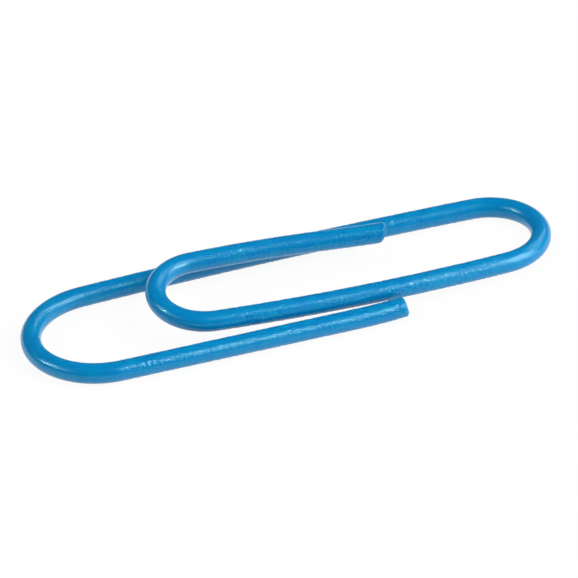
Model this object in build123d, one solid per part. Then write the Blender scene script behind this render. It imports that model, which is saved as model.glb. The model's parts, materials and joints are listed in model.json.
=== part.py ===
"""Plastic-coated wire paper clip, bent from one length of steel wire.

The wire is walked from the middle of the outer bend, in legs that bow a little and bends that all
turn the same way, and the tongue is then lifted and rolled out of the outer loop's plane. The wire
springs by twisting, so it is divided at the middle of each bend, square to the wire, into the four
stretches that turn on each other there. Each stretch is a steel core inside its run of coating.

Frame: millimetres, +X along the legs towards the return bend, +Z up, and the origin under the
middle of the clip, on the surface that it lies on.
"""

import os
from math import cos, radians, sin, sqrt

from build123d import *

# Wire
core_diameter = 1.0
coating_wall = 0.12

# Bends, on the wire's centre line: the other two radii follow from how the legs nest
outer_bend_radius = 4.31
nesting_gap = 0.18

# Legs: the wire between two bends, or from a bend to the tip of a free end
outer_leg_length = 14.35
back_leg_length = 24.45
tongue_leg_length = 18.3
inner_leg_length = 8.75

# Spring of the legs, in degrees: each leg's turn along its length, and its chord's lean off X
back_leg_bow = 5.0
tongue_leg_bow = 10.0
inner_leg_bow = 7.0
back_leg_toe = 0.8
tongue_leg_toe = 2.3
inner_leg_toe = -0.75

# Tongue out of the outer loop's plane, in degrees
tongue_lift = 2.7
tongue_roll = 5.7
inner_leg_dip = 0.5

# Tips of the free ends, that the shears dragged up: each one's turn along its length, in degrees
tip_length = 3.2
outer_tip_turn = 5.5
inner_tip_turn = 2.7

# Sheared ends: how far the cut leans off square, in degrees, with the top left longer where it is
# positive, and the roll-over of its rim
outer_end_lean = -4.0
inner_end_lean = 28.0
end_rounding = 0.2

# Sizes that follow
coated_diameter = core_diameter + 2 * coating_wall
core_radius = core_diameter / 2
coated_radius = coated_diameter / 2
shear_overrun = coated_diameter

# Headings in degrees off +X, walking from the outer bend to the inner free end
OUTER_APEX, RETURN_APEX, INNER_APEX = 90, -90, -270
ALONG_BACK, ALONG_TONGUE, ALONG_INNER = 0, -180, -360


def leg_headings(along, toe, bow):
    """Headings of the wire where it enters a leg and where it leaves it."""
    return along + toe + bow / 2, along + toe - bow / 2


def bow_radius(length, bow):
    """Radius of a leg that turns by its bow along its length."""
    return length / radians(bow)


def side_share(heading_in, heading_out):
    """Y covered by a right-hand arc between two headings, per unit of its radius."""
    return cos(radians(heading_out)) - cos(radians(heading_in))


def end_share(heading_in, heading_out):
    """X covered by a right-hand arc between two headings, per unit of its radius."""
    return sin(radians(heading_in)) - sin(radians(heading_out))


back_in, back_out = leg_headings(ALONG_BACK, back_leg_toe, back_leg_bow)
tongue_in, tongue_out = leg_headings(ALONG_TONGUE, tongue_leg_toe, tongue_leg_bow)
inner_in, inner_out = leg_headings(ALONG_INNER, inner_leg_toe, inner_leg_bow)

back_leg_radius = bow_radius(back_leg_length, back_leg_bow)
tongue_leg_radius = bow_radius(tongue_leg_length, tongue_leg_bow)
inner_leg_radius = bow_radius(inner_leg_length, inner_leg_bow)

# Return bend: the tongue leg's belly lies one wire and the nesting gap inside the outer leg
leg_pitch = coated_diameter + nesting_gap
back_start_x = outer_bend_radius * end_share(OUTER_APEX, back_in)
back_start_y = outer_bend_radius * side_share(OUTER_APEX, back_in)
back_end_x = back_start_x + back_leg_radius * end_share(back_in, back_out)
back_end_y = back_start_y + back_leg_radius * side_share(back_in, back_out)
belly_y = leg_pitch - outer_bend_radius
belly_drop = tongue_leg_radius * side_share(tongue_in, ALONG_TONGUE)
return_bend_radius = (belly_y - belly_drop - back_end_y) / side_share(back_out, tongue_in)

# Inner bend: the inner leg's crest lies the same pitch inside the back leg beside it
tongue_end_x = (
    back_end_x
    + return_bend_radius * end_share(back_out, tongue_in)
    + tongue_leg_radius * end_share(tongue_in, tongue_out)
)
tongue_end_y = (
    back_end_y
    + return_bend_radius * side_share(back_out, tongue_in)
    + tongue_leg_radius * side_share(tongue_in, tongue_out)
)
back_centre_x = back_start_x + back_leg_radius * sin(radians(back_in))
back_centre_y = back_start_y - back_leg_radius * cos(radians(back_in))
back_beside_y = back_centre_y + sqrt(back_leg_radius**2 - (tongue_end_x - back_centre_x) ** 2)
crest_y = back_beside_y - leg_pitch
crest_rise = inner_leg_radius * side_share(inner_in, ALONG_INNER)
inner_bend_radius = (crest_y - crest_rise - tongue_end_y) / side_share(tongue_out, inner_in)


def arc_run(start, turns):
    """Edges of tangent arcs from a point, each turn a radius and the headings at its two ends."""
    edges = []
    for radius, heading_in, heading_out in turns:
        tangent = Vector(1, 0, 0).rotate(Axis.Z, heading_in)
        edges.append(JernArc(start, tangent, radius, heading_out - heading_in))
        start = edges[-1] @ 1
    return edges


def rod(edges, radius):
    """Round bar swept along joined edges."""
    path = Wire(edges)
    return sweep(Plane(origin=path @ 0, z_dir=path % 0) * Circle(radius), path=path)


def through_stretch(edges):
    """Core and coating of a stretch that goes on at both ends."""
    core = rod(edges, core_radius)
    return core, rod(edges, coated_radius) - core


def dragged_tip(leg, turn):
    """Edge of a tip that goes on from a level leg and turns up."""
    heading = leg % 1
    upright = Plane(origin=leg @ 1, x_dir=heading, z_dir=heading.cross(Vector(0, 0, 1)))
    return upright * JernArc((0, 0), (1, 0), bow_radius(tip_length, turn), turn)


def end_stretch(edges, tip_turn, end_lean):
    """Core and coating of a stretch whose tip is sheared off and rolled over at the rim."""
    edges = edges + [dragged_tip(edges[-1], tip_turn)]
    tip, heading = edges[-1] @ 1, edges[-1] % 1
    overrun = Line(tip, tip + heading * shear_overrun)
    blank = rod(edges + [overrun], coated_radius)
    side = Axis(tip, Vector(0, 0, 1).cross(heading))
    shear = Plane(origin=tip, z_dir=heading.rotate(side, end_lean))
    blank = split(blank, bisect_by=shear, keep=Keep.BOTTOM)
    cut_face = blank.faces().sort_by_distance(tip)[0]
    blank = fillet(cut_face.edges(), end_rounding)
    core = rod(edges + [overrun], core_radius)
    return blank & core, blank - core


# Flat walk of the four stretches, with their ends at the middles of the bends
outer_apex = Vector(0, 0, 0)
outer_bend_half = arc_run(outer_apex, [(outer_bend_radius, -OUTER_APEX, ALONG_BACK)])
outer_leg_start = outer_bend_half[0] @ 1
outer_leg = Line(outer_leg_start, outer_leg_start + Vector(outer_leg_length, 0, 0))
back_run = arc_run(
    outer_apex,
    [
        (outer_bend_radius, OUTER_APEX, back_in),
        (back_leg_radius, back_in, back_out),
        (return_bend_radius, back_out, RETURN_APEX),
    ],
)
return_apex = back_run[-1] @ 1
tongue_run = arc_run(
    return_apex,
    [(return_bend_radius, RETURN_APEX, tongue_in), (tongue_leg_radius, tongue_in, tongue_out)],
)
tongue_end = tongue_run[-1] @ 1
inner_bend_half = arc_run(tongue_end, [(inner_bend_radius, tongue_out, INNER_APEX)])
inner_apex = inner_bend_half[-1] @ 1
inner_run = arc_run(
    inner_apex,
    [(inner_bend_radius, INNER_APEX, inner_in), (inner_leg_radius, inner_in, inner_out)],
)

# Turns that spring the tongue out of the outer loop's plane
dip_axis = Axis(inner_apex, (0, 1, 0))
roll_axis = Axis(tongue_end, tongue_run[-1] % 1)
lift_axis = Axis(return_apex, (0, 1, 0))


def lifted(shape):
    """A shape turned with the lifted tongue about the middle of the return bend."""
    return shape.rotate(lift_axis, tongue_lift)


def rolled(shape):
    """A shape turned with the inner bend about the end of the tongue leg, then lifted."""
    return lifted(shape.rotate(roll_axis, -tongue_roll))


outer_core, outer_coating = end_stretch(
    outer_bend_half + [outer_leg], outer_tip_turn, outer_end_lean
)
back_core, back_coating = through_stretch(back_run)
tongue_edges = [lifted(edge) for edge in tongue_run] + [rolled(edge) for edge in inner_bend_half]
tongue_core, tongue_coating = through_stretch(tongue_edges)
inner_core, inner_coating = [
    rolled(piece.rotate(dip_axis, inner_leg_dip))
    for piece in end_stretch(inner_run, inner_tip_turn, inner_end_lean)
]

nodes = {
    "outer_leg_core": outer_core,
    "outer_leg_coating": outer_coating,
    "back_leg_core": back_core,
    "back_leg_coating": back_coating,
    "tongue_core": tongue_core,
    "tongue_coating": tongue_coating,
    "inner_leg_core": inner_core,
    "inner_leg_coating": inner_coating,
}

# Origin under the middle of the clip
box = Compound(children=[shape.solid() for shape in nodes.values()]).bounding_box()
home = Location((-box.center().X, -box.center().Y, -box.min.Z))

os.makedirs("parts", exist_ok=True)
for name, shape in nodes.items():
    export_step(home * shape.solid(), f"parts/{name}.step")

inner_spring = tongue_edges[-1]
springs = {
    "outer bend": (outer_apex, Vector(0, 1, 0)),
    "return bend": (return_apex, Vector(0, 1, 0)),
    "inner bend": (inner_spring @ 1, inner_spring % 1),
}
print(f"overall {box.size.X:.3f} x {box.size.Y:.3f} x {box.size.Z:.3f} mm")
print(f"bend radii {outer_bend_radius:.3f}, {return_bend_radius:.3f}, {inner_bend_radius:.3f} mm")
for name, (point, axis) in springs.items():
    place = point + home.position
    print(f"{name} turns at {place.X:.4f}, {place.Y:.4f}, {place.Z:.4f}", end=" ")
    print(f"about {axis.X:.5f}, {axis.Y:.5f}, {axis.Z:.5f}")
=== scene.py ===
"""Looks of a plastic-coated wire paper clip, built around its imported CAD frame.

Each of the wire's four stretches gets a skin of blue vinyl, modelled ring by ring along the same
arcs as the CAD solid, with the shallow lumps that break up the gloss on the legs. The two stretches
with a free end also get a steel wire of their own, with the sheared face that shows there. Lengths
are metres and angles are degrees, in the CAD frame.
"""

import json
import logging
from dataclasses import dataclass, field, replace
from enum import Enum
from math import ceil, cos, pi, radians, sin, tan
from typing import Callable, Iterator

import bmesh
import bpy
from mathutils import Matrix, Quaternion, Vector
from mathutils.kdtree import KDTree

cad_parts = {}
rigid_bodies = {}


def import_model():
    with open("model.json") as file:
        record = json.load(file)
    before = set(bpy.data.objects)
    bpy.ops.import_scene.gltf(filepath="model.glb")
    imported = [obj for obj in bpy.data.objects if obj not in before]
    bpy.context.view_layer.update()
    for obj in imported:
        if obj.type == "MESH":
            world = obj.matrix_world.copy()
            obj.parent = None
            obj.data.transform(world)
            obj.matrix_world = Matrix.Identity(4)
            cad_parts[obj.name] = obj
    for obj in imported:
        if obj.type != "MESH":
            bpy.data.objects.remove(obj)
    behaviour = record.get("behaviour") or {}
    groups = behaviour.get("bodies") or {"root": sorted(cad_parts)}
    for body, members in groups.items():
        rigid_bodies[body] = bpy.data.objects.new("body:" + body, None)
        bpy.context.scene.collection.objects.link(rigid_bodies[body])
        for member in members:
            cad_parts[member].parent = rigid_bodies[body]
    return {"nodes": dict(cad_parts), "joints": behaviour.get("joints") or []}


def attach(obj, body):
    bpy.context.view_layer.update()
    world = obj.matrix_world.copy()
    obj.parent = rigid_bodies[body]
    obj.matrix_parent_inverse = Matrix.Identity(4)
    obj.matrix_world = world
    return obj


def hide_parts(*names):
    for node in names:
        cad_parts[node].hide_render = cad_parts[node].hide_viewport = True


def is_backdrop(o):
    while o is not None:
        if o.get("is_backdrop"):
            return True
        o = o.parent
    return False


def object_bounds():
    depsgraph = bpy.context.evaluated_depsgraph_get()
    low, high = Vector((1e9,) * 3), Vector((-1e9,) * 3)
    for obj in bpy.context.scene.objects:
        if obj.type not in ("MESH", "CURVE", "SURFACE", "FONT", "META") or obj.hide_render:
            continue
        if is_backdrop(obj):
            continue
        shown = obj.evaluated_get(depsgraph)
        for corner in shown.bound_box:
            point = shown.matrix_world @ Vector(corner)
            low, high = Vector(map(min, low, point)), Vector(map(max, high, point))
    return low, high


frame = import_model()
cad_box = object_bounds()

log = logging.getLogger("paper_clip")

MM = 0.001
CORE_RADIUS = 0.5 * MM
COATED_RADIUS = 0.62 * MM
QUARTER_TURN = 90.0

Colour = tuple[float, float, float]


class Slot(Enum):
    """The record's material slots."""

    COATING = "blue_coating"
    WIRE = "steel_wire"


class Ray(Enum):
    """Kinds of ray that see the table white."""

    CAMERA = "Is Camera Ray"
    GLOSSY = "Is Glossy Ray"
    TRANSMISSION = "Is Transmission Ray"


class Duty(Enum):
    """What a lamp does."""

    FILL = "lights everything, and shows in no gloss"
    GLINT = "shows in the coating's gloss only"


@dataclass(frozen=True)
class Run:
    """A length of wire of one curvature.

    Attributes:
        radius: Radius of its centre line, or None where it is straight.
        turn: Angle that it turns through, to the right where it is positive.
        length: Length of a straight run.
        lumps: How lumpy its coating is, from 0 on a stretched bend to 1 on a leg.
        roll: Roll of the bend plane about the wire where the run starts.
    """

    radius: float | None = None
    turn: float = 0.0
    length: float = 0.0
    lumps: float = 1.0
    roll: float = 0.0

    def arc_length(self) -> float:
        """Length along the centre line."""
        return self.length if self.radius is None else self.radius * radians(abs(self.turn))

    def shortened(self, room: float) -> "Run":
        """The run without its last stretch of a given length."""
        share = 1 - room / self.arc_length()
        return replace(self, turn=self.turn * share, length=self.length * share)


@dataclass
class WireWalk:
    """A point that walks along the wire.

    Attributes:
        place: Where it is.
        heading: Which way the wire runs there.
        upright: Upright of the plane that the wire bends in.
    """

    place: Vector
    heading: Vector
    upright: Vector

    def copy(self) -> "WireWalk":
        """A walk that goes on from the same point."""
        return WireWalk(self.place.copy(), self.heading.copy(), self.upright.copy())

    def roll(self, angle: float) -> None:
        """Rolls the bend plane about the wire."""
        self.upright = Quaternion(self.heading, radians(angle)) @ self.upright

    def centre(self, run: Run) -> Vector:
        """Centre of an arc that starts here, to the right or to the left."""
        side = self.heading.cross(self.upright)
        return self.place + side * (run.radius if run.turn > 0 else -run.radius)

    def advance(self, run: Run, share: float = 1.0) -> None:
        """Moves along a share of a run.

        Args:
            run: The run that starts here.
            share: How much of it is walked, from 0 to 1.
        """
        if run.radius is None:
            self.place = self.place + self.heading * (run.length * share)
            return
        centre = self.centre(run)
        turn = Quaternion(self.upright, -radians(run.turn * share))
        self.place = centre + turn @ (self.place - centre)
        self.heading = turn @ self.heading

    def facing(self) -> Quaternion:
        """Turn that lays a primitive's own upright along the wire."""
        side = self.heading.cross(self.upright)
        return Matrix((self.upright, side, self.heading)).transposed().to_quaternion()


class Bench:
    """Operator steps that several pieces share."""

    @staticmethod
    def clear() -> None:
        """Leaves edit mode and deselects everything."""
        if bpy.context.mode != "OBJECT":
            bpy.ops.object.mode_set(mode="OBJECT")
        bpy.ops.object.select_all(action="DESELECT")

    @staticmethod
    def start(name: str, walk: WireWalk, radius: float, sides: int) -> bpy.types.Object:
        """Starts a piece from a circle round the wire, and leaves the circle selected.

        Args:
            name: Name of the piece.
            walk: Where the circle stands.
            radius: Its radius.
            sides: Its number of vertices.

        Returns:
            The piece, in edit mode.
        """
        Bench.clear()
        bpy.ops.mesh.primitive_circle_add(
            vertices=sides,
            radius=radius,
            location=walk.place,
            rotation=walk.facing().to_euler(),
        )
        piece = bpy.context.object
        piece.name = piece.data.name = name
        bpy.ops.object.transform_apply(location=True, rotation=True, scale=True)
        bpy.ops.object.mode_set(mode="EDIT")
        bpy.ops.mesh.select_mode(type="VERT")
        bpy.ops.mesh.select_all(action="SELECT")
        return piece

    @staticmethod
    def draw(walk: WireWalk, run: Run, spacing: float) -> None:
        """Draws the selected ring along a run, and walks it.

        Args:
            walk: Where the ring is; it ends at the far end of the run.
            run: The run to follow.
            spacing: Distance between the rings that are left behind.
        """
        steps = max(1, ceil(run.arc_length() / spacing))
        if run.radius is None:
            bpy.ops.mesh.extrude_repeat(steps=steps, offset=walk.heading * (run.length / steps))
        else:
            axis = walk.upright if run.turn > 0 else -walk.upright
            bpy.ops.mesh.spin(
                steps=steps,
                angle=radians(abs(run.turn)),
                center=walk.centre(run),
                axis=axis,
            )
        walk.advance(run)

    @staticmethod
    def shrink(centre: Vector, share: float) -> None:
        """Adds a ring inside the selected one, at a share of its size about a centre."""
        bpy.ops.mesh.extrude_region_move(TRANSFORM_OT_translate={"value": (0, 0, 0)})
        bpy.ops.transform.resize(value=(share, share, share), center_override=centre)

    @staticmethod
    def place_ring(walk: WireWalk, spot: Callable[[Vector], Vector]) -> None:
        """Adds a ring in front of the selected one, with each vertex laid at its own spot.

        Args:
            walk: The wire that the rings stand round.
            spot: Gives a vertex's spot for its direction out from the wire.
        """
        bpy.ops.mesh.extrude_region_move(TRANSFORM_OT_translate={"value": (0, 0, 0)})
        mesh = bmesh.from_edit_mesh(bpy.context.object.data)
        for vert in mesh.verts:
            if vert.select:
                out = vert.co - walk.place
                out -= walk.heading * out.dot(walk.heading)
                vert.co = spot(out.normalized())
        bmesh.update_edit_mesh(bpy.context.object.data)

    @staticmethod
    def select_rim(place: Vector, reach: float) -> None:
        """Selects the open edges near a point, and nothing else.

        Args:
            place: The point.
            reach: How far from it the edges may lie.
        """
        bpy.ops.mesh.select_all(action="DESELECT")
        mesh = bmesh.from_edit_mesh(bpy.context.object.data)
        for edge in mesh.edges:
            if edge.is_boundary and all((vert.co - place).length < reach for vert in edge.verts):
                edge.select = True
        mesh.select_flush_mode()
        bmesh.update_edit_mesh(bpy.context.object.data)


@dataclass(frozen=True)
class ShearedEnd:
    """A free end that was sheared off, with its rim rolled over.

    Attributes:
        lean: Lean of the cut off square, with the top left longer where it is positive.
        rounding: Radius of the rim.
        wire_radius: Outer radius of the wire.
        room: Length of wire behind the cut that the rim's rings take up.
        roll: Roll about the wire that stands its upright up again after the tip's own bend.
        halvings: Steps of the search for a spot on the rim.
    """

    lean: float
    rounding: float = 0.2 * MM
    wire_radius: float = COATED_RADIUS
    room: float = 0.6 * MM
    roll: float = QUARTER_TURN
    halvings: int = 24

    def normal(self, tip: WireWalk) -> Vector:
        """Outward normal of the cut."""
        return tip.heading * cos(radians(self.lean)) - tip.upright * sin(radians(self.lean))

    def rim_start(self, tip: WireWalk, out: Vector) -> float:
        """Where the rim leaves the wire's outside, as a length past the tip on the side of out."""
        slope = tan(radians(self.lean)) * out.dot(tip.upright)
        return slope * (self.wire_radius - self.rounding) - self.rounding / cos(radians(self.lean))

    def wall_spot(self, tip: WireWalk, out: Vector, radius: float, share: float) -> Vector:
        """A spot on the wall, a share of the way from the last square ring to the rim."""
        along = share * self.rim_start(tip, out) - (1 - share) * self.room
        return tip.place + tip.heading * along + out * radius

    def rim_spot(self, tip: WireWalk, out: Vector, share: float) -> Vector:
        """A spot on the rolled rim.

        Args:
            tip: The wire's tip.
            out: Direction out from the wire.
            share: How far round the rim the spot is, from the wire's outside to the cut.

        Returns:
            The spot.
        """
        middle = tip.heading * self.rim_start(tip, out) + out * (self.wire_radius - self.rounding)
        lean = out.rotation_difference(self.normal(tip))
        return tip.place + middle + (Quaternion().slerp(lean, share) @ out) * self.rounding

    def share_at(self, tip: WireWalk, out: Vector, radius: float) -> float:
        """How far round the rim it has come in to a radius.

        Args:
            tip: The wire's tip.
            out: Direction out from the wire.
            radius: The radius, less than the wire's own.

        Returns:
            A share of the rim, from 0 to 1.
        """
        low, high = 0.0, 1.0
        for _ in range(self.halvings):
            middle = (low + high) / 2
            spot = self.rim_spot(tip, out, middle) - tip.place
            if (spot - tip.heading * spot.dot(tip.heading)).length > radius:
                low = middle
            else:
                high = middle
        return low


class Paint:
    """Shader nodes that the finishes share."""

    @staticmethod
    def start(name: str) -> tuple[bpy.types.Material, bpy.types.ShaderNode]:
        """Starts a material.

        Args:
            name: Its name.

        Returns:
            The material and its shader.
        """
        made = bpy.data.materials.new(name)
        made.use_nodes = True
        return made, made.node_tree.nodes["Principled BSDF"]

    @staticmethod
    def noise(
        tree: bpy.types.NodeTree, place: bpy.types.NodeSocket, size: float, detail: float
    ) -> bpy.types.NodeSocket:
        """Adds a noise.

        Args:
            tree: The material's node tree.
            place: Where on the piece it is read.
            size: Size of its grains.
            detail: How many finer layers it has.

        Returns:
            Its level, from 0 to 1.
        """
        noise = tree.nodes.new("ShaderNodeTexNoise")
        noise.inputs["Scale"].default_value = 1 / size
        noise.inputs["Detail"].default_value = detail
        tree.links.new(place, noise.inputs["Vector"])
        return noise.outputs["Fac"]

    @staticmethod
    def ramp(
        tree: bpy.types.NodeTree, level: bpy.types.NodeSocket, stops: dict[float, Colour]
    ) -> bpy.types.NodeSocket:
        """Adds a ramp of colours.

        Args:
            tree: The material's node tree.
            level: What the ramp follows.
            stops: The colour at each level, from the lowest to the highest.

        Returns:
            Its colour.
        """
        colours = tree.nodes.new("ShaderNodeValToRGB")
        elements = colours.color_ramp.elements
        (low, first), *between, (high, last) = stops.items()
        elements[0].position, elements[0].color = low, (*first, 1)
        elements[1].position, elements[1].color = high, (*last, 1)
        for position, colour in between:
            elements.new(position).color = (*colour, 1)
        tree.links.new(level, colours.inputs["Fac"])
        return colours.outputs["Color"]

    @staticmethod
    def span(
        tree: bpy.types.NodeTree, level: bpy.types.NodeSocket, low: float, high: float
    ) -> bpy.types.NodeSocket:
        """Adds a value that follows a level.

        Args:
            tree: The material's node tree.
            level: A level from 0 to 1.
            low: The value where the level is 0.
            high: The value where it is 1.

        Returns:
            The value.
        """
        span = tree.nodes.new("ShaderNodeMapRange")
        span.inputs["To Min"].default_value = low
        span.inputs["To Max"].default_value = high
        tree.links.new(level, span.inputs["Value"])
        return span.outputs["Result"]

    @staticmethod
    def bump(
        tree: bpy.types.NodeTree, height: bpy.types.NodeSocket, depth: float
    ) -> bpy.types.NodeSocket:
        """Adds a fine relief.

        Args:
            tree: The material's node tree.
            height: Its height, from 0 to 1.
            depth: How deep it is.

        Returns:
            The surface's normal.
        """
        bump = tree.nodes.new("ShaderNodeBump")
        bump.inputs["Distance"].default_value = depth
        tree.links.new(height, bump.inputs["Height"])
        return bump.outputs["Normal"]


@dataclass(frozen=True)
class VinylFinish:
    """Blue vinyl, grainy on the legs and smoother where the bends stretched it.

    Attributes:
        name: Name of its material.
        deep: Its deepest blue.
        plain: Its blue where it isn't clouded.
        pale: Its palest blue.
        stops: Levels of the clouds at which these three colours lie.
        specular: Strength of its gloss.
        tint: Colour of its gloss.
        bend_roughness: Roughness on a bend.
        leg_roughness: Roughness on a leg.
        roughness_spread: How much the grain adds to the roughness.
        grain: Size of its grain.
        grain_depth: Depth of the grain on a leg.
        grain_detail: How many finer layers the grain has.
        cloud: Size of the clouds of colour.
        cloud_detail: How many finer layers they have.
    """

    name: str = "blue_vinyl"
    deep: Colour = (0.0004, 0.183, 0.452)
    plain: Colour = (0.0004, 0.203, 0.460)
    pale: Colour = (0.0006, 0.224, 0.452)
    stops: tuple[float, float, float] = (0.30, 0.50, 0.72)
    specular: float = 0.62
    tint: Colour = (0.46, 0.96, 0.98)
    bend_roughness: float = 0.14
    leg_roughness: float = 0.17
    roughness_spread: float = 0.10
    grain: float = 0.16 * MM
    grain_depth: float = 0.014 * MM
    grain_detail: float = 2.0
    cloud: float = 0.7 * MM
    cloud_detail: float = 3.0

    def material(self) -> bpy.types.Material:
        """Makes the finish.

        Returns:
            Its material.
        """
        made, shader = Paint.start(self.name)
        tree = made.node_tree
        shader.inputs["Specular IOR Level"].default_value = self.specular
        shader.inputs["Specular Tint"].default_value = (*self.tint, 1)
        place = tree.nodes.new("ShaderNodeTexCoord").outputs["Object"]
        lumps = tree.nodes.new("ShaderNodeAttribute")
        lumps.attribute_name = Skin.LUMPS
        grain = Paint.noise(tree, place, self.grain, self.grain_detail)

        cloud = Paint.noise(tree, place, self.cloud, self.cloud_detail)
        blues = dict(zip(self.stops, (self.deep, self.plain, self.pale)))
        tree.links.new(Paint.ramp(tree, cloud, blues), shader.inputs["Base Color"])

        level = Paint.span(tree, lumps.outputs["Fac"], self.bend_roughness, self.leg_roughness)
        spread = tree.nodes.new("ShaderNodeMath")
        spread.operation = "MULTIPLY_ADD"
        spread.inputs[1].default_value = self.roughness_spread
        tree.links.new(grain, spread.inputs[0])
        tree.links.new(level, spread.inputs[2])
        tree.links.new(spread.outputs["Value"], shader.inputs["Roughness"])

        height = tree.nodes.new("ShaderNodeMath")
        height.operation = "MULTIPLY"
        tree.links.new(grain, height.inputs[0])
        tree.links.new(lumps.outputs["Fac"], height.inputs[1])
        relief = Paint.bump(tree, height.outputs["Value"], self.grain_depth)
        tree.links.new(relief, shader.inputs["Normal"])
        return made


@dataclass(frozen=True)
class SteelFinish:
    """Drawn steel wire, dragged in streaks where it was sheared.

    Attributes:
        name: Name of its material.
        dark: Its darkest grey.
        bright: Its brightest grey.
        stops: Levels of the streaks at which these two colours lie.
        roughness: Its roughness where it is bright and where it is dark.
        streak: Width of the streaks.
        streak_length: Length of the streaks against their width.
        streak_depth: Their depth.
        streak_detail: How many finer layers they have.
    """

    name: str = "sheared_steel"
    dark: Colour = (0.30, 0.30, 0.31)
    bright: Colour = (0.62, 0.62, 0.63)
    stops: tuple[float, float] = (0.32, 0.66)
    roughness: tuple[float, float] = (0.26, 0.52)
    streak: float = 0.05 * MM
    streak_length: float = 8.0
    streak_depth: float = 0.004 * MM
    streak_detail: float = 3.0

    def material(self) -> bpy.types.Material:
        """Makes the finish.

        Returns:
            Its material.
        """
        made, shader = Paint.start(self.name)
        tree = made.node_tree
        shader.inputs["Metallic"].default_value = 1
        place = tree.nodes.new("ShaderNodeTexCoord").outputs["Object"]
        drag = tree.nodes.new("ShaderNodeMapping")
        drag.inputs["Scale"].default_value = (1, 1, 1 / self.streak_length)
        tree.links.new(place, drag.inputs["Vector"])
        streaks = Paint.noise(tree, drag.outputs["Vector"], self.streak, self.streak_detail)
        greys = dict(zip(self.stops, (self.dark, self.bright)))
        tree.links.new(Paint.ramp(tree, streaks, greys), shader.inputs["Base Color"])
        polished, dull = self.roughness
        tree.links.new(Paint.span(tree, streaks, dull, polished), shader.inputs["Roughness"])
        relief = Paint.bump(tree, streaks, self.streak_depth)
        tree.links.new(relief, shader.inputs["Normal"])
        return made


@dataclass
class Stretch:
    """One stretch of the wire, from the middle of a bend to the next bend or to a free end.

    Attributes:
        body: The CAD body that it is.
        start: Where it starts.
        runs: Its arcs and straights in order.
        end: Its free end, or None where the wire goes on.
        core_radius: Radius of the steel.
        coated_radius: Radius over the coating.
    """

    body: str
    start: WireWalk
    runs: list[Run]
    end: ShearedEnd | None = None
    core_radius: float = CORE_RADIUS
    coated_radius: float = COATED_RADIUS

    def finish_walk(self) -> WireWalk:
        """Walks the stretch from end to end.

        Returns:
            The walk at the far end.
        """
        walk = self.start.copy()
        for run in self.runs:
            walk.roll(run.roll)
            walk.advance(run)
        if self.end:
            walk.roll(self.end.roll)
        return walk

    def draw(self, spacing: float) -> WireWalk:
        """Draws the selected ring along the stretch, up to the room that a free end needs.

        Args:
            spacing: Distance between the rings that are left behind.

        Returns:
            The walk at the far end, past that room.
        """
        walk = self.start.copy()
        for run in self.runs[:-1]:
            walk.roll(run.roll)
            Bench.draw(walk, run, spacing)
        last = self.runs[-1]
        walk.roll(last.roll)
        Bench.draw(walk, last.shortened(self.end.room) if self.end else last, spacing)
        return self.finish_walk()

    def stations(self, spacing: float) -> Iterator[tuple[Vector, float, float]]:
        """Points along the centre line.

        Args:
            spacing: Distance between them.

        Yields:
            Each point, its distance from the start, and how lumpy the coating is there.
        """
        walk, gone = self.start.copy(), 0.0
        for run in self.runs:
            walk.roll(run.roll)
            steps = max(1, ceil(run.arc_length() / spacing))
            for step in range(steps + 1):
                part = walk.copy()
                part.advance(run, step / steps)
                yield part.place, gone + run.arc_length() * step / steps, run.lumps
            walk.advance(run)
            gone += run.arc_length()


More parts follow.
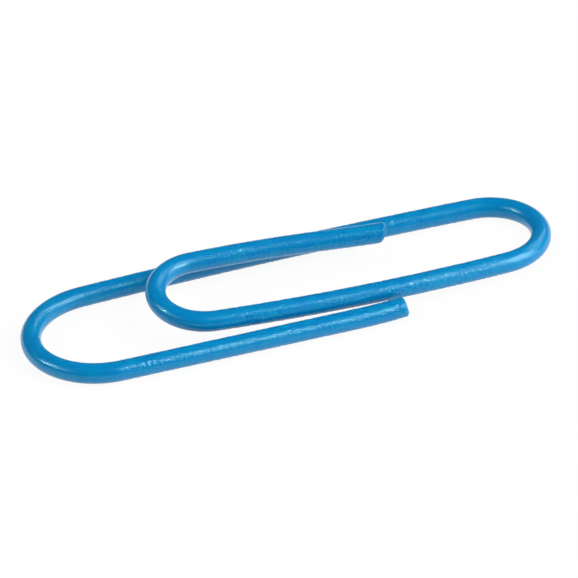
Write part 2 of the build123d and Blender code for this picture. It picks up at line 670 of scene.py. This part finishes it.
@dataclass
class Skin:
    """The coating of a stretch.

    Attributes:
        stretch: The stretch that it covers.
        sides: Vertices round the wire.
        spacing: Distance between rings on the outside.
        bore_spacing: Distance between rings in the bore.
        wall_rings: Rings between the last square ring and the rim of a free end.
        rim_rings: Rings on the rim.
        weld: Distance within which two rings are one.
        seam_room: How far the coating stands back where it starts, to turn clear of its neighbour.
        lump_size: Size of the coating's lumps.
        lump_depth: Depth of the hollows between them.
        lump_top: Level of the noise that is left at the wire's full radius.
        blend: Length over which the lumps fade between a leg and a bend.
        seam_fade: Length over which they fade at a bend's middle, where two stretches meet.
        edge_fade: Depth within which they fade at the sides of the clip's own box.
        lump_layers: How many finer layers the lumps have.
        crease_angle: Turn past which an edge stays sharp as the rest is smoothed.
        shade_angle: Turn past which an edge is shaded sharp.
    """

    LUMPS = "lumps"
    SUFFIX = "_vinyl"
    OWN_SHARE = 0.75  # what smoothing leaves of a vertex's own place on its ring

    stretch: Stretch
    sides: int = 44
    spacing: float = 0.095 * MM
    bore_spacing: float = 0.6 * MM
    wall_rings: int = 5
    rim_rings: int = 7
    weld: float = 0.01 * MM
    seam_room: float = 0.0003 * MM
    lump_size: float = 0.16 * MM
    lump_depth: float = 0.042 * MM
    lump_top: float = 0.70
    blend: float = 1.6 * MM
    seam_fade: float = 0.5 * MM
    edge_fade: float = 0.02 * MM
    lump_layers: int = 1
    crease_angle: float = 60.0
    shade_angle: float = 40.0

    def build(self) -> bpy.types.Object:
        """Models the coating.

        Returns:
            The finished piece, with its place in its mesh.
        """
        stretch = self.stretch
        swell = 1 / (self.OWN_SHARE + (1 - self.OWN_SHARE) * cos(2 * pi / self.sides))
        piece = Bench.start(
            stretch.body + self.SUFFIX, stretch.start, stretch.coated_radius * swell, self.sides
        )
        bore_share = stretch.core_radius / stretch.coated_radius
        tip = stretch.draw(self.spacing)
        if stretch.end:
            self._roll_rim(stretch.end, tip, swell)
        else:
            Bench.shrink(tip.place, bore_share)
        Bench.select_rim(stretch.start.place, 2 * stretch.coated_radius)
        bpy.ops.transform.translate(value=stretch.start.heading * self.seam_room)
        Bench.shrink(stretch.start.place, bore_share)
        stretch.draw(self.bore_spacing)
        if stretch.end:
            Bench.select_rim(tip.place, 2 * stretch.coated_radius)
            bpy.ops.mesh.bridge_edge_loops()
        bpy.ops.mesh.select_all(action="SELECT")
        bpy.ops.mesh.remove_doubles(threshold=self.weld)
        bpy.ops.mesh.normals_make_consistent(inside=False)
        bpy.ops.mesh.select_all(action="DESELECT")
        bpy.ops.mesh.select_mode(type="EDGE")
        bpy.ops.mesh.edges_select_sharp(sharpness=radians(self.crease_angle))
        bpy.ops.transform.edge_crease(value=1)
        bpy.ops.object.mode_set(mode="OBJECT")
        smooth = piece.modifiers.new("smooth", "SUBSURF")
        smooth.levels = smooth.render_levels = 1
        bpy.ops.object.modifier_apply(modifier=smooth.name)
        self._raise_lumps(piece)
        bpy.ops.object.shade_smooth_by_angle(angle=radians(self.shade_angle))
        return piece

    def dress(self, piece: bpy.types.Object, coating: bpy.types.Material) -> None:
        """Gives the coating its finish, and puts it in the place of the CAD node.

        Args:
            piece: The finished piece.
            coating: Its material.
        """
        piece.data.materials.append(coating)
        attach(piece, self.stretch.body)
        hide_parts(f"{self.stretch.body}_coating")

    def _roll_rim(self, end: ShearedEnd, tip: WireWalk, swell: float) -> None:
        """Carries the outside on to the rim of the free end, and rolls it over to the wire.

        Args:
            end: The free end.
            tip: The wire's tip.
            swell: How much larger the rings are than the wire.
        """
        radius = self.stretch.coated_radius * swell
        core = self.stretch.core_radius
        for step in range(1, self.wall_rings + 1):
            share = step / self.wall_rings
            Bench.place_ring(tip, lambda out: end.wall_spot(tip, out, radius, share))
        for step in range(1, self.rim_rings + 1):
            share = step / self.rim_rings
            Bench.place_ring(
                tip, lambda out: end.rim_spot(tip, out, share * end.share_at(tip, out, core))
            )

    def _raise_lumps(self, piece: bpy.types.Object) -> None:
        """Presses the hollows between the lumps into the coating's outside.

        Args:
            piece: The smoothed coating.
        """
        line = list(self.stretch.stations(self.spacing))
        tree = KDTree(len(line))
        for index, (place, _, _) in enumerate(line):
            tree.insert(place, index)
        tree.balance()
        levels = self._lump_levels(line)
        whole = line[-1][1]
        outside = (self.stretch.coated_radius + self.stretch.core_radius) / 2
        grip = piece.vertex_groups.new(name=self.LUMPS)
        shown = []
        for vert in piece.data.vertices:
            _, index, away = tree.find(vert.co)
            shown.append(levels[index])
            gone = line[index][1]
            left = whole if self.stretch.end else whole - gone
            inside = min(*(vert.co - cad_box[0]), *(cad_box[1] - vert.co))
            room = max(0.0, inside) / self.edge_fade
            fade = min(1.0, gone / self.seam_fade, left / self.seam_fade, room)
            grip.add([vert.index], levels[index] * fade if away > outside else 0.0, "REPLACE")
        noise = bpy.data.textures.new(f"{piece.name}_lumps", "CLOUDS")
        noise.noise_scale = self.lump_size
        noise.noise_depth = self.lump_layers
        press = piece.modifiers.new("lumps", "DISPLACE")
        press.texture = noise
        press.texture_coords = "LOCAL"
        press.vertex_group = grip.name
        press.strength = self.lump_depth
        press.mid_level = self.lump_top
        bpy.ops.object.modifier_apply(modifier=press.name)
        piece.vertex_groups.clear()
        piece.data.attributes.new(self.LUMPS, "FLOAT", "POINT").data.foreach_set("value", shown)

    def _lump_levels(self, line: list[tuple[Vector, float, float]]) -> list[float]:
        """Lumpiness at each station, faded between the legs and the bends.

        Args:
            line: The stations of the stretch.

        Returns:
            A level from 0 to 1 for each station.
        """
        reach = max(1, round(self.blend / self.spacing / 2))
        sums = [0.0]
        for _, _, lumps in line:
            sums.append(sums[-1] + lumps)
        levels = []
        for index in range(len(line)):
            low, high = max(0, index - reach), min(len(line), index + reach + 1)
            levels.append((sums[high] - sums[low]) / (high - low))
        return levels


@dataclass
class SteelEnd:
    """The wire inside a stretch that ends free, with its sheared face.

    Attributes:
        stretch: The stretch that it runs through.
        sides: Vertices round the wire.
        spacing: Distance between rings.
        rim_rings: Rings on the rim's part that is steel.
        face_inset: How far the sheared face stands in from its rim.
        break_drop: How far the broken half of the face lies behind the cut half.
        break_grain: Roughness of the broken half.
        break_cuts: Cuts that divide the broken half's edges.
        break_seed: Seed of its roughness.
        flatness: How far off the cut a face may lean and still be part of it.
        half_corners: Corners that only the two halves of the cut have more than.
        shade_angle: Turn past which an edge is shaded sharp.
    """

    stretch: Stretch
    sides: int = 80
    spacing: float = 0.5 * MM
    rim_rings: int = 3
    face_inset: float = 0.03 * MM
    break_drop: float = 0.035 * MM
    break_grain: float = 0.012 * MM
    break_cuts: int = 5
    break_seed: int = 7
    flatness: float = 1e-3
    half_corners: int = 10
    shade_angle: float = 30.0

    def build(self) -> bpy.types.Object:
        """Models the wire.

        Returns:
            The finished piece, with its place in its mesh.
        """
        stretch, end = self.stretch, self.stretch.end
        piece = Bench.start(
            f"{stretch.body}_wire", stretch.start, stretch.core_radius, self.sides
        )
        self._shear(stretch.draw(self.spacing), end)
        Bench.select_rim(stretch.start.place, 2 * stretch.core_radius)
        bpy.ops.mesh.edge_face_add()
        bpy.ops.mesh.select_all(action="SELECT")
        bpy.ops.mesh.normals_make_consistent(inside=False)
        bpy.ops.object.mode_set(mode="OBJECT")
        bpy.ops.object.shade_smooth_by_angle(angle=radians(self.shade_angle))
        return piece

    def dress(self, piece: bpy.types.Object, steel: bpy.types.Material) -> None:
        """Gives the wire its finish, and puts it in the place of the CAD node.

        Args:
            piece: The finished piece.
            steel: Its material.
        """
        piece.data.materials.append(steel)
        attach(piece, self.stretch.body)
        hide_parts(f"{self.stretch.body}_core")

    def _shear(self, tip: WireWalk, end: ShearedEnd) -> None:
        """Carries the wire on to its rim, and breaks the lower half of its face.

        Args:
            tip: The wire's tip.
            end: The free end there.
        """
        normal, centre, core = end.normal(tip), tip.place, self.stretch.core_radius
        for step in range(self.rim_rings + 1):
            share = step / self.rim_rings

            def spot(out: Vector) -> Vector:
                """Spot of a vertex on the rim's part that is steel."""
                first = end.share_at(tip, out, core)
                return end.rim_spot(tip, out, first + (1 - first) * share)

            Bench.place_ring(tip, spot)
        bpy.ops.mesh.edge_face_add()
        bpy.ops.mesh.inset(thickness=self.face_inset, depth=0)
        bpy.ops.mesh.bisect(plane_co=centre, plane_no=tip.upright)
        self._select_break(centre, tip.upright, normal)
        bpy.ops.mesh.inset(thickness=self.face_inset, depth=-self.break_drop)
        bpy.ops.mesh.poke()
        bpy.ops.mesh.subdivide(number_cuts=self.break_cuts)
        bpy.ops.transform.vertex_random(offset=self.break_grain, seed=self.break_seed)

    def _select_break(self, centre: Vector, upright: Vector, normal: Vector) -> None:
        """Selects the half of the sheared face that broke away.

        Args:
            centre: Middle of the face.
            upright: Direction from the broken half to the cut half.
            normal: Outward normal of the face.
        """
        bpy.ops.mesh.select_all(action="DESELECT")
        bpy.ops.mesh.select_mode(type="FACE")
        mesh = bmesh.from_edit_mesh(bpy.context.object.data)
        for face in mesh.faces:
            off = face.calc_center_median() - centre
            level = abs(abs(face.normal.dot(normal)) - 1) < self.flatness
            half = len(face.verts) > self.half_corners and off.length < self.stretch.core_radius
            if level and half and off.dot(upright) < 0:
                face.select = True
        bmesh.update_edit_mesh(bpy.context.object.data)


@dataclass(frozen=True)
class SoftBox:
    """A soft lamp that looks at the clip.

    Attributes:
        name: Its name.
        azimuth: Its bearing from the clip, off +X towards +Y.
        elevation: Its height over the table.
        spread: Its width and height as the clip sees them.
        brightness: Its radiance, where 1 is white.
        duty: What it does.
        reach: Its distance.
        body: The one body that a glint shows on, or nothing where it shows on all of them.
    """

    name: str
    azimuth: float
    elevation: float
    spread: tuple[float, float]
    brightness: float
    duty: Duty
    reach: float = 0.5
    body: str = ""

    def place(self) -> None:
        """Adds the lamp, and links a glint to the coatings that it shows on."""
        bearing, height = radians(self.azimuth), radians(self.elevation)
        out = Vector(
            (cos(bearing) * cos(height), sin(bearing) * cos(height), sin(height))
        )
        lamp = bpy.data.lights.new(self.name, "AREA")
        lamp.shape = "RECTANGLE"
        lamp.size = 2 * self.reach * tan(radians(self.spread[0] / 2))
        lamp.size_y = 2 * self.reach * tan(radians(self.spread[1] / 2))
        lamp.energy = self.brightness * pi * lamp.size * lamp.size_y
        lamp_object = bpy.data.objects.new(self.name, lamp)
        lamp_object.location = out * self.reach
        lamp_object.visible_glossy = self.duty is Duty.GLINT
        lamp_object.visible_diffuse = self.duty is Duty.FILL
        lamp.cycles.use_multiple_importance_sampling = False
        lamp_object.rotation_euler = (-out).to_track_quat("-Z", "Y").to_euler()
        bpy.context.scene.collection.objects.link(lamp_object)
        if self.duty is Duty.GLINT:
            lit = bpy.data.collections.new(f"{self.name}_lit")
            for piece in bpy.data.objects:
                if piece.name.startswith(self.body) and piece.name.endswith(Skin.SUFFIX):
                    lit.objects.link(piece)
            lamp_object.light_linking.receiver_collection = lit


@dataclass
class Studio:
    """Pale table and soft lamps.

    Attributes:
        ambient: Even light of the surroundings.
        table_size: Side of the table.
        table_colour: Its colour.
        table_white: Share of white in how it looks, the rest being its lit colour and the shadow.
        lamps: The lamps.
    """

    ambient: float = 0.06
    table_size: float = 6.0
    table_colour: Colour = (0.86, 0.86, 0.86)
    table_white: float = 0.93
    lamps: list[SoftBox] = field(
        default_factory=lambda: [
            SoftBox("front_right_softbox", -38.0, 42.0, (46.0, 24.0), 6.0, Duty.FILL),
            SoftBox("front_right_glow", -30.0, 39.0, (58.0, 50.0), 1.5, Duty.GLINT),
            SoftBox("front_right_bloom", -35.0, 37.0, (44.0, 42.0), 2.6, Duty.GLINT),
            SoftBox("front_right_heart", -40.0, 35.0, (24.0, 30.0), 3.0, Duty.GLINT),
            SoftBox("high_front_card", -86.0, 60.0, (8.0, 26.0), 1.2, Duty.GLINT),
            SoftBox(
                "front_strip",
                -76.0,
                41.0,
                (7.0, 36.0),
                11.5,
                Duty.GLINT,
                reach=0.1,
                body="outer_leg",
            ),
            SoftBox("right_card", -28.0, 10.0, (66.0, 34.0), 3.0, Duty.FILL),
            SoftBox("right_glint", -30.0, 10.0, (62.0, 32.0), 2.3, Duty.GLINT),
            SoftBox("right_bloom", 28.0, 35.0, (40.0, 26.0), 1.6, Duty.GLINT),
            SoftBox("left_softbox", 168.0, 28.0, (18.0, 22.0), 9.0, Duty.FILL),
            SoftBox("left_glint", 168.0, 31.0, (18.0, 18.0), 9.0, Duty.GLINT),
            SoftBox("left_bloom", 186.0, 35.0, (40.0, 24.0), 1.4, Duty.GLINT),
            SoftBox("ceiling_fill", 0.0, 90.0, (115.0, 115.0), 0.6, Duty.FILL),
        ]
    )

    def build(self) -> None:
        """Adds the table, the world and the lamps."""
        self._table()
        self._world()
        for lamp in self.lamps:
            lamp.place()
            log.info("lamp %s", lamp.name)

    @staticmethod
    def _seen(tree: bpy.types.NodeTree) -> bpy.types.NodeSocket:
        """Adds nodes that tell the rays that see the table white.

        Args:
            tree: The table's node tree.

        Returns:
            A socket that is 1 for those rays and 0 for the others.
        """
        path = tree.nodes.new("ShaderNodeLightPath")
        found = path.outputs[Ray.CAMERA.value]
        for ray in (Ray.GLOSSY, Ray.TRANSMISSION):
            either = tree.nodes.new("ShaderNodeMath")
            either.operation = "MAXIMUM"
            tree.links.new(found, either.inputs[0])
            tree.links.new(path.outputs[ray.value], either.inputs[1])
            found = either.outputs[0]
        return found

    def _table(self) -> None:
        """Adds the table, nearly white to the eye but with the clip's shadow on it."""
        Bench.clear()
        bpy.ops.mesh.primitive_plane_add(size=self.table_size)
        table = bpy.context.object
        table.name = "table"
        table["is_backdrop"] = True
        made = bpy.data.materials.new("white_table")
        made.use_nodes = True
        tree = made.node_tree
        tree.nodes.clear()
        paint = tree.nodes.new("ShaderNodeBsdfDiffuse")
        paint.inputs["Color"].default_value = (*self.table_colour, 1)
        white = tree.nodes.new("ShaderNodeEmission")
        share = tree.nodes.new("ShaderNodeMath")
        share.operation = "MULTIPLY"
        share.inputs[1].default_value = self.table_white
        tree.links.new(self._seen(tree), share.inputs[0])
        mix = tree.nodes.new("ShaderNodeMixShader")
        tree.links.new(share.outputs[0], mix.inputs["Fac"])
        tree.links.new(paint.outputs[0], mix.inputs[1])
        tree.links.new(white.outputs[0], mix.inputs[2])
        out = tree.nodes.new("ShaderNodeOutputMaterial")
        tree.links.new(mix.outputs[0], out.inputs["Surface"])
        table.data.materials.append(made)

    def _world(self) -> None:
        """Adds the even light of the surroundings."""
        world = bpy.data.worlds.new("even_surroundings")
        bpy.context.scene.world = world
        world.use_nodes = True
        tree = world.node_tree
        tree.nodes.clear()
        light = tree.nodes.new("ShaderNodeBackground")
        light.inputs["Color"].default_value = (1, 1, 1, 1)
        light.inputs["Strength"].default_value = self.ambient
        out = tree.nodes.new("ShaderNodeOutputWorld")
        tree.links.new(light.outputs[0], out.inputs["Surface"])


@dataclass(frozen=True)
class PhotoCamera:
    """A long lens from the photograph's viewing angle.

    Attributes:
        azimuth: Bearing, where 0 looks along +Y.
        elevation: Height over the table.
        roll: Roll about the view.
        distance: Distance from the aim.
        aim: The point that the lens looks at.
        pixels_per_metre: Scale of the picture at the aim.
        offset: Where the aim lands off the picture's middle, in pixels to the right and down.
        picture: Width and height of the picture in pixels.
        sensor: Width of the sensor in millimetres.
        nearest: Distance from which the lens sees.
    """

    azimuth: float = -12.83
    elevation: float = 33.006
    roll: float = -5.206
    distance: float = 0.52
    aim: tuple[float, float, float] = (0.0, -0.2287 * MM, 0.62 * MM)
    pixels_per_metre: float = 16785.8
    offset: tuple[float, float] = (1.3376, 3.2091)
    picture: int = 578
    sensor: float = 36.0
    nearest: float = 0.01

    def place(self) -> None:
        """Adds the camera and makes it the scene's."""
        bearing, height = radians(self.azimuth), radians(self.elevation)
        back = Vector(
            (sin(bearing) * cos(height), -cos(bearing) * cos(height), sin(height))
        )
        right = Vector((cos(bearing), sin(bearing), 0))
        up = back.cross(right)
        tilt = Quaternion(back, radians(self.roll))
        right, up = tilt @ right, tilt @ up
        lens = bpy.data.cameras.new("photo_camera")
        lens.sensor_width = self.sensor
        lens.lens = self.pixels_per_metre * self.distance * self.sensor / self.picture
        lens.shift_x = -self.offset[0] / self.picture
        lens.shift_y = self.offset[1] / self.picture
        lens.clip_start = self.nearest
        camera = bpy.data.objects.new("photo_camera", lens)
        camera.location = Vector(self.aim) + back * self.distance
        camera.rotation_euler = Matrix((right, up, back)).transposed().to_euler()
        bpy.context.scene.collection.objects.link(camera)
        bpy.context.scene.camera = camera


@dataclass
class PaperClip:
    """The whole clip: four stretches of coated wire that meet at the middles of the bends.

    Attributes:
        outer_bend: Radius of the outer bend.
        return_bend: Radius of the return bend.
        inner_bend: Radius of the inner bend.
        outer_leg_length: Length of the outer leg, up to its tip.
        back_leg_length: Length of the back leg.
        tongue_leg_length: Length of the tongue leg.
        inner_leg_length: Length of the inner leg, up to its tip.
        tip_length: Length of the tip of a free end, that the shears dragged up.
        back_bow: Turn of the back leg along its length.
        tongue_bow: Turn of the tongue leg.
        inner_bow: Turn of the inner leg.
        back_toe: Lean of the back leg's chord off the clip's length.
        tongue_toe: Lean of the tongue leg's chord.
        inner_toe: Lean of the inner leg's chord.
        outer_tip_turn: How far the outer tip turns up.
        inner_tip_turn: How far the inner tip turns up.
        outer_end_lean: Lean of the outer end's cut.
        inner_end_lean: Lean of the inner end's cut.
        tongue_lift: Lift of the tongue about the middle of the return bend.
        tongue_roll: Roll of the inner bend about the end of the tongue leg.
        inner_dip: Dip of the inner leg about the middle of the inner bend.
        bend_lumps: How lumpy the coating is on the bends.
    """

    outer_bend: float = 4.31 * MM
    return_bend: float = 3.35646 * MM
    inner_bend: float = 2.93995 * MM
    outer_leg_length: float = 14.35 * MM
    back_leg_length: float = 24.45 * MM
    tongue_leg_length: float = 18.3 * MM
    inner_leg_length: float = 8.75 * MM
    tip_length: float = 3.2 * MM
    back_bow: float = 5.0
    tongue_bow: float = 10.0
    inner_bow: float = 7.0
    back_toe: float = 0.8
    tongue_toe: float = 2.3
    inner_toe: float = -0.75
    outer_tip_turn: float = 5.5
    inner_tip_turn: float = 2.7
    outer_end_lean: float = -4.0
    inner_end_lean: float = 28.0
    tongue_lift: float = 2.7
    tongue_roll: float = 5.7
    inner_dip: float = 0.5
    bend_lumps: float = 0.2

    def stretches(self) -> list[Stretch]:
        """The four stretches, each from the joint that it turns on.

        Returns:
            The stretches in the order that the wire runs.
        """
        outer = self._joint_walk("outer_bend_twist", Vector((0, 1, 0)))
        back = Stretch(
            "back_leg",
            outer,
            [
                self._bend(self.outer_bend, QUARTER_TURN - self.back_toe - self.back_bow / 2),
                self._leg(self.back_leg_length, self.back_bow),
                self._bend(self.return_bend, QUARTER_TURN + self.back_toe - self.back_bow / 2),
            ],
        )
        outer_leg = Stretch(
            "outer_leg",
            WireWalk(outer.place, -outer.heading, outer.upright),
            [
                self._bend(self.outer_bend, -QUARTER_TURN),
                Run(length=self.outer_leg_length),
                self._tip(self.outer_tip_turn),
            ],
            ShearedEnd(lean=self.outer_end_lean),
        )
        tongue_start = self._joint_walk("return_bend_twist", Vector((0, -1, 0)))
        tongue = Stretch(
            "tongue",
            tongue_start,
            [
                self._bend(
                    self.return_bend,
                    QUARTER_TURN - self.tongue_toe - self.tongue_bow / 2,
                    -self.tongue_lift,
                ),
                self._leg(self.tongue_leg_length, self.tongue_bow),
                self._bend(
                    self.inner_bend,
                    QUARTER_TURN + self.tongue_toe - self.tongue_bow / 2,
                    -self.tongue_roll,
                ),
            ],
        )
        inner = Stretch(
            "inner_leg",
            tongue.finish_walk(),
            [
                self._bend(
                    self.inner_bend,
                    QUARTER_TURN - self.inner_toe - self.inner_bow / 2,
                    self.inner_dip,
                ),
                self._leg(self.inner_leg_length, self.inner_bow),
                self._tip(self.inner_tip_turn),
            ],
            ShearedEnd(lean=self.inner_end_lean),
        )
        return [outer_leg, back, tongue, inner]

    def build(self) -> None:
        """Builds and dresses every piece of the clip."""
        coating = VinylFinish().material()
        steel = SteelFinish().material()
        for stretch in self.stretches():
            skin = Skin(stretch)
            piece = skin.build()
            skin.dress(piece, coating)
            self._report(piece)
            if stretch.end:
                wire = SteelEnd(stretch)
                piece = wire.build()
                wire.dress(piece, steel)
                self._report(piece)
            else:
                node = frame["nodes"][f"{stretch.body}_core"]
                node.data.materials.clear()
                node.data.materials.append(steel)
                log.info("%s keeps its solid", node.name)

    def _bend(self, radius: float, turn: float, roll: float = 0.0) -> Run:
        """A half of a bend."""
        return Run(radius=radius, turn=turn, lumps=self.bend_lumps, roll=roll)

    @staticmethod
    def _leg(length: float, bow: float) -> Run:
        """A leg that turns by its bow along its length."""
        return Run(radius=length / radians(bow), turn=bow)

    def _tip(self, turn: float) -> Run:
        """A tip that the shears dragged up out of the bend plane."""
        return Run(radius=self.tip_length / radians(turn), turn=turn, roll=-QUARTER_TURN)

    @staticmethod
    def _joint_walk(name: str, heading: Vector) -> WireWalk:
        """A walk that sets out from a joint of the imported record, with its bend plane level."""
        joint = next(row for row in frame["joints"] if row["name"] == name)
        return WireWalk(Vector(joint["pos_m"]), heading.copy(), Vector((0, 0, 1)))

    @staticmethod
    def _report(piece: bpy.types.Object) -> None:
        """Logs a finished piece."""
        log.info("%s: %d faces", piece.name, len(piece.data.polygons))


def write_sizes() -> None:
    """Lists the corners of the CAD model's box and of the visual model's box, without keeping them.
    """
    boxes = {"cad": cad_box, "visual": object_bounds()}
    {name: [list(corner) for corner in box] for name, box in boxes.items()}


def main() -> None:
    """Builds the clip, the studio and the camera."""
    logging.basicConfig(level=logging.INFO, format="%(name)s: %(message)s")
    bpy.context.scene.view_settings.view_transform = "Standard"
    PhotoCamera().place()
    PaperClip().build()
    Studio().build()
    write_sizes()


if __name__ == "__main__":
    main()
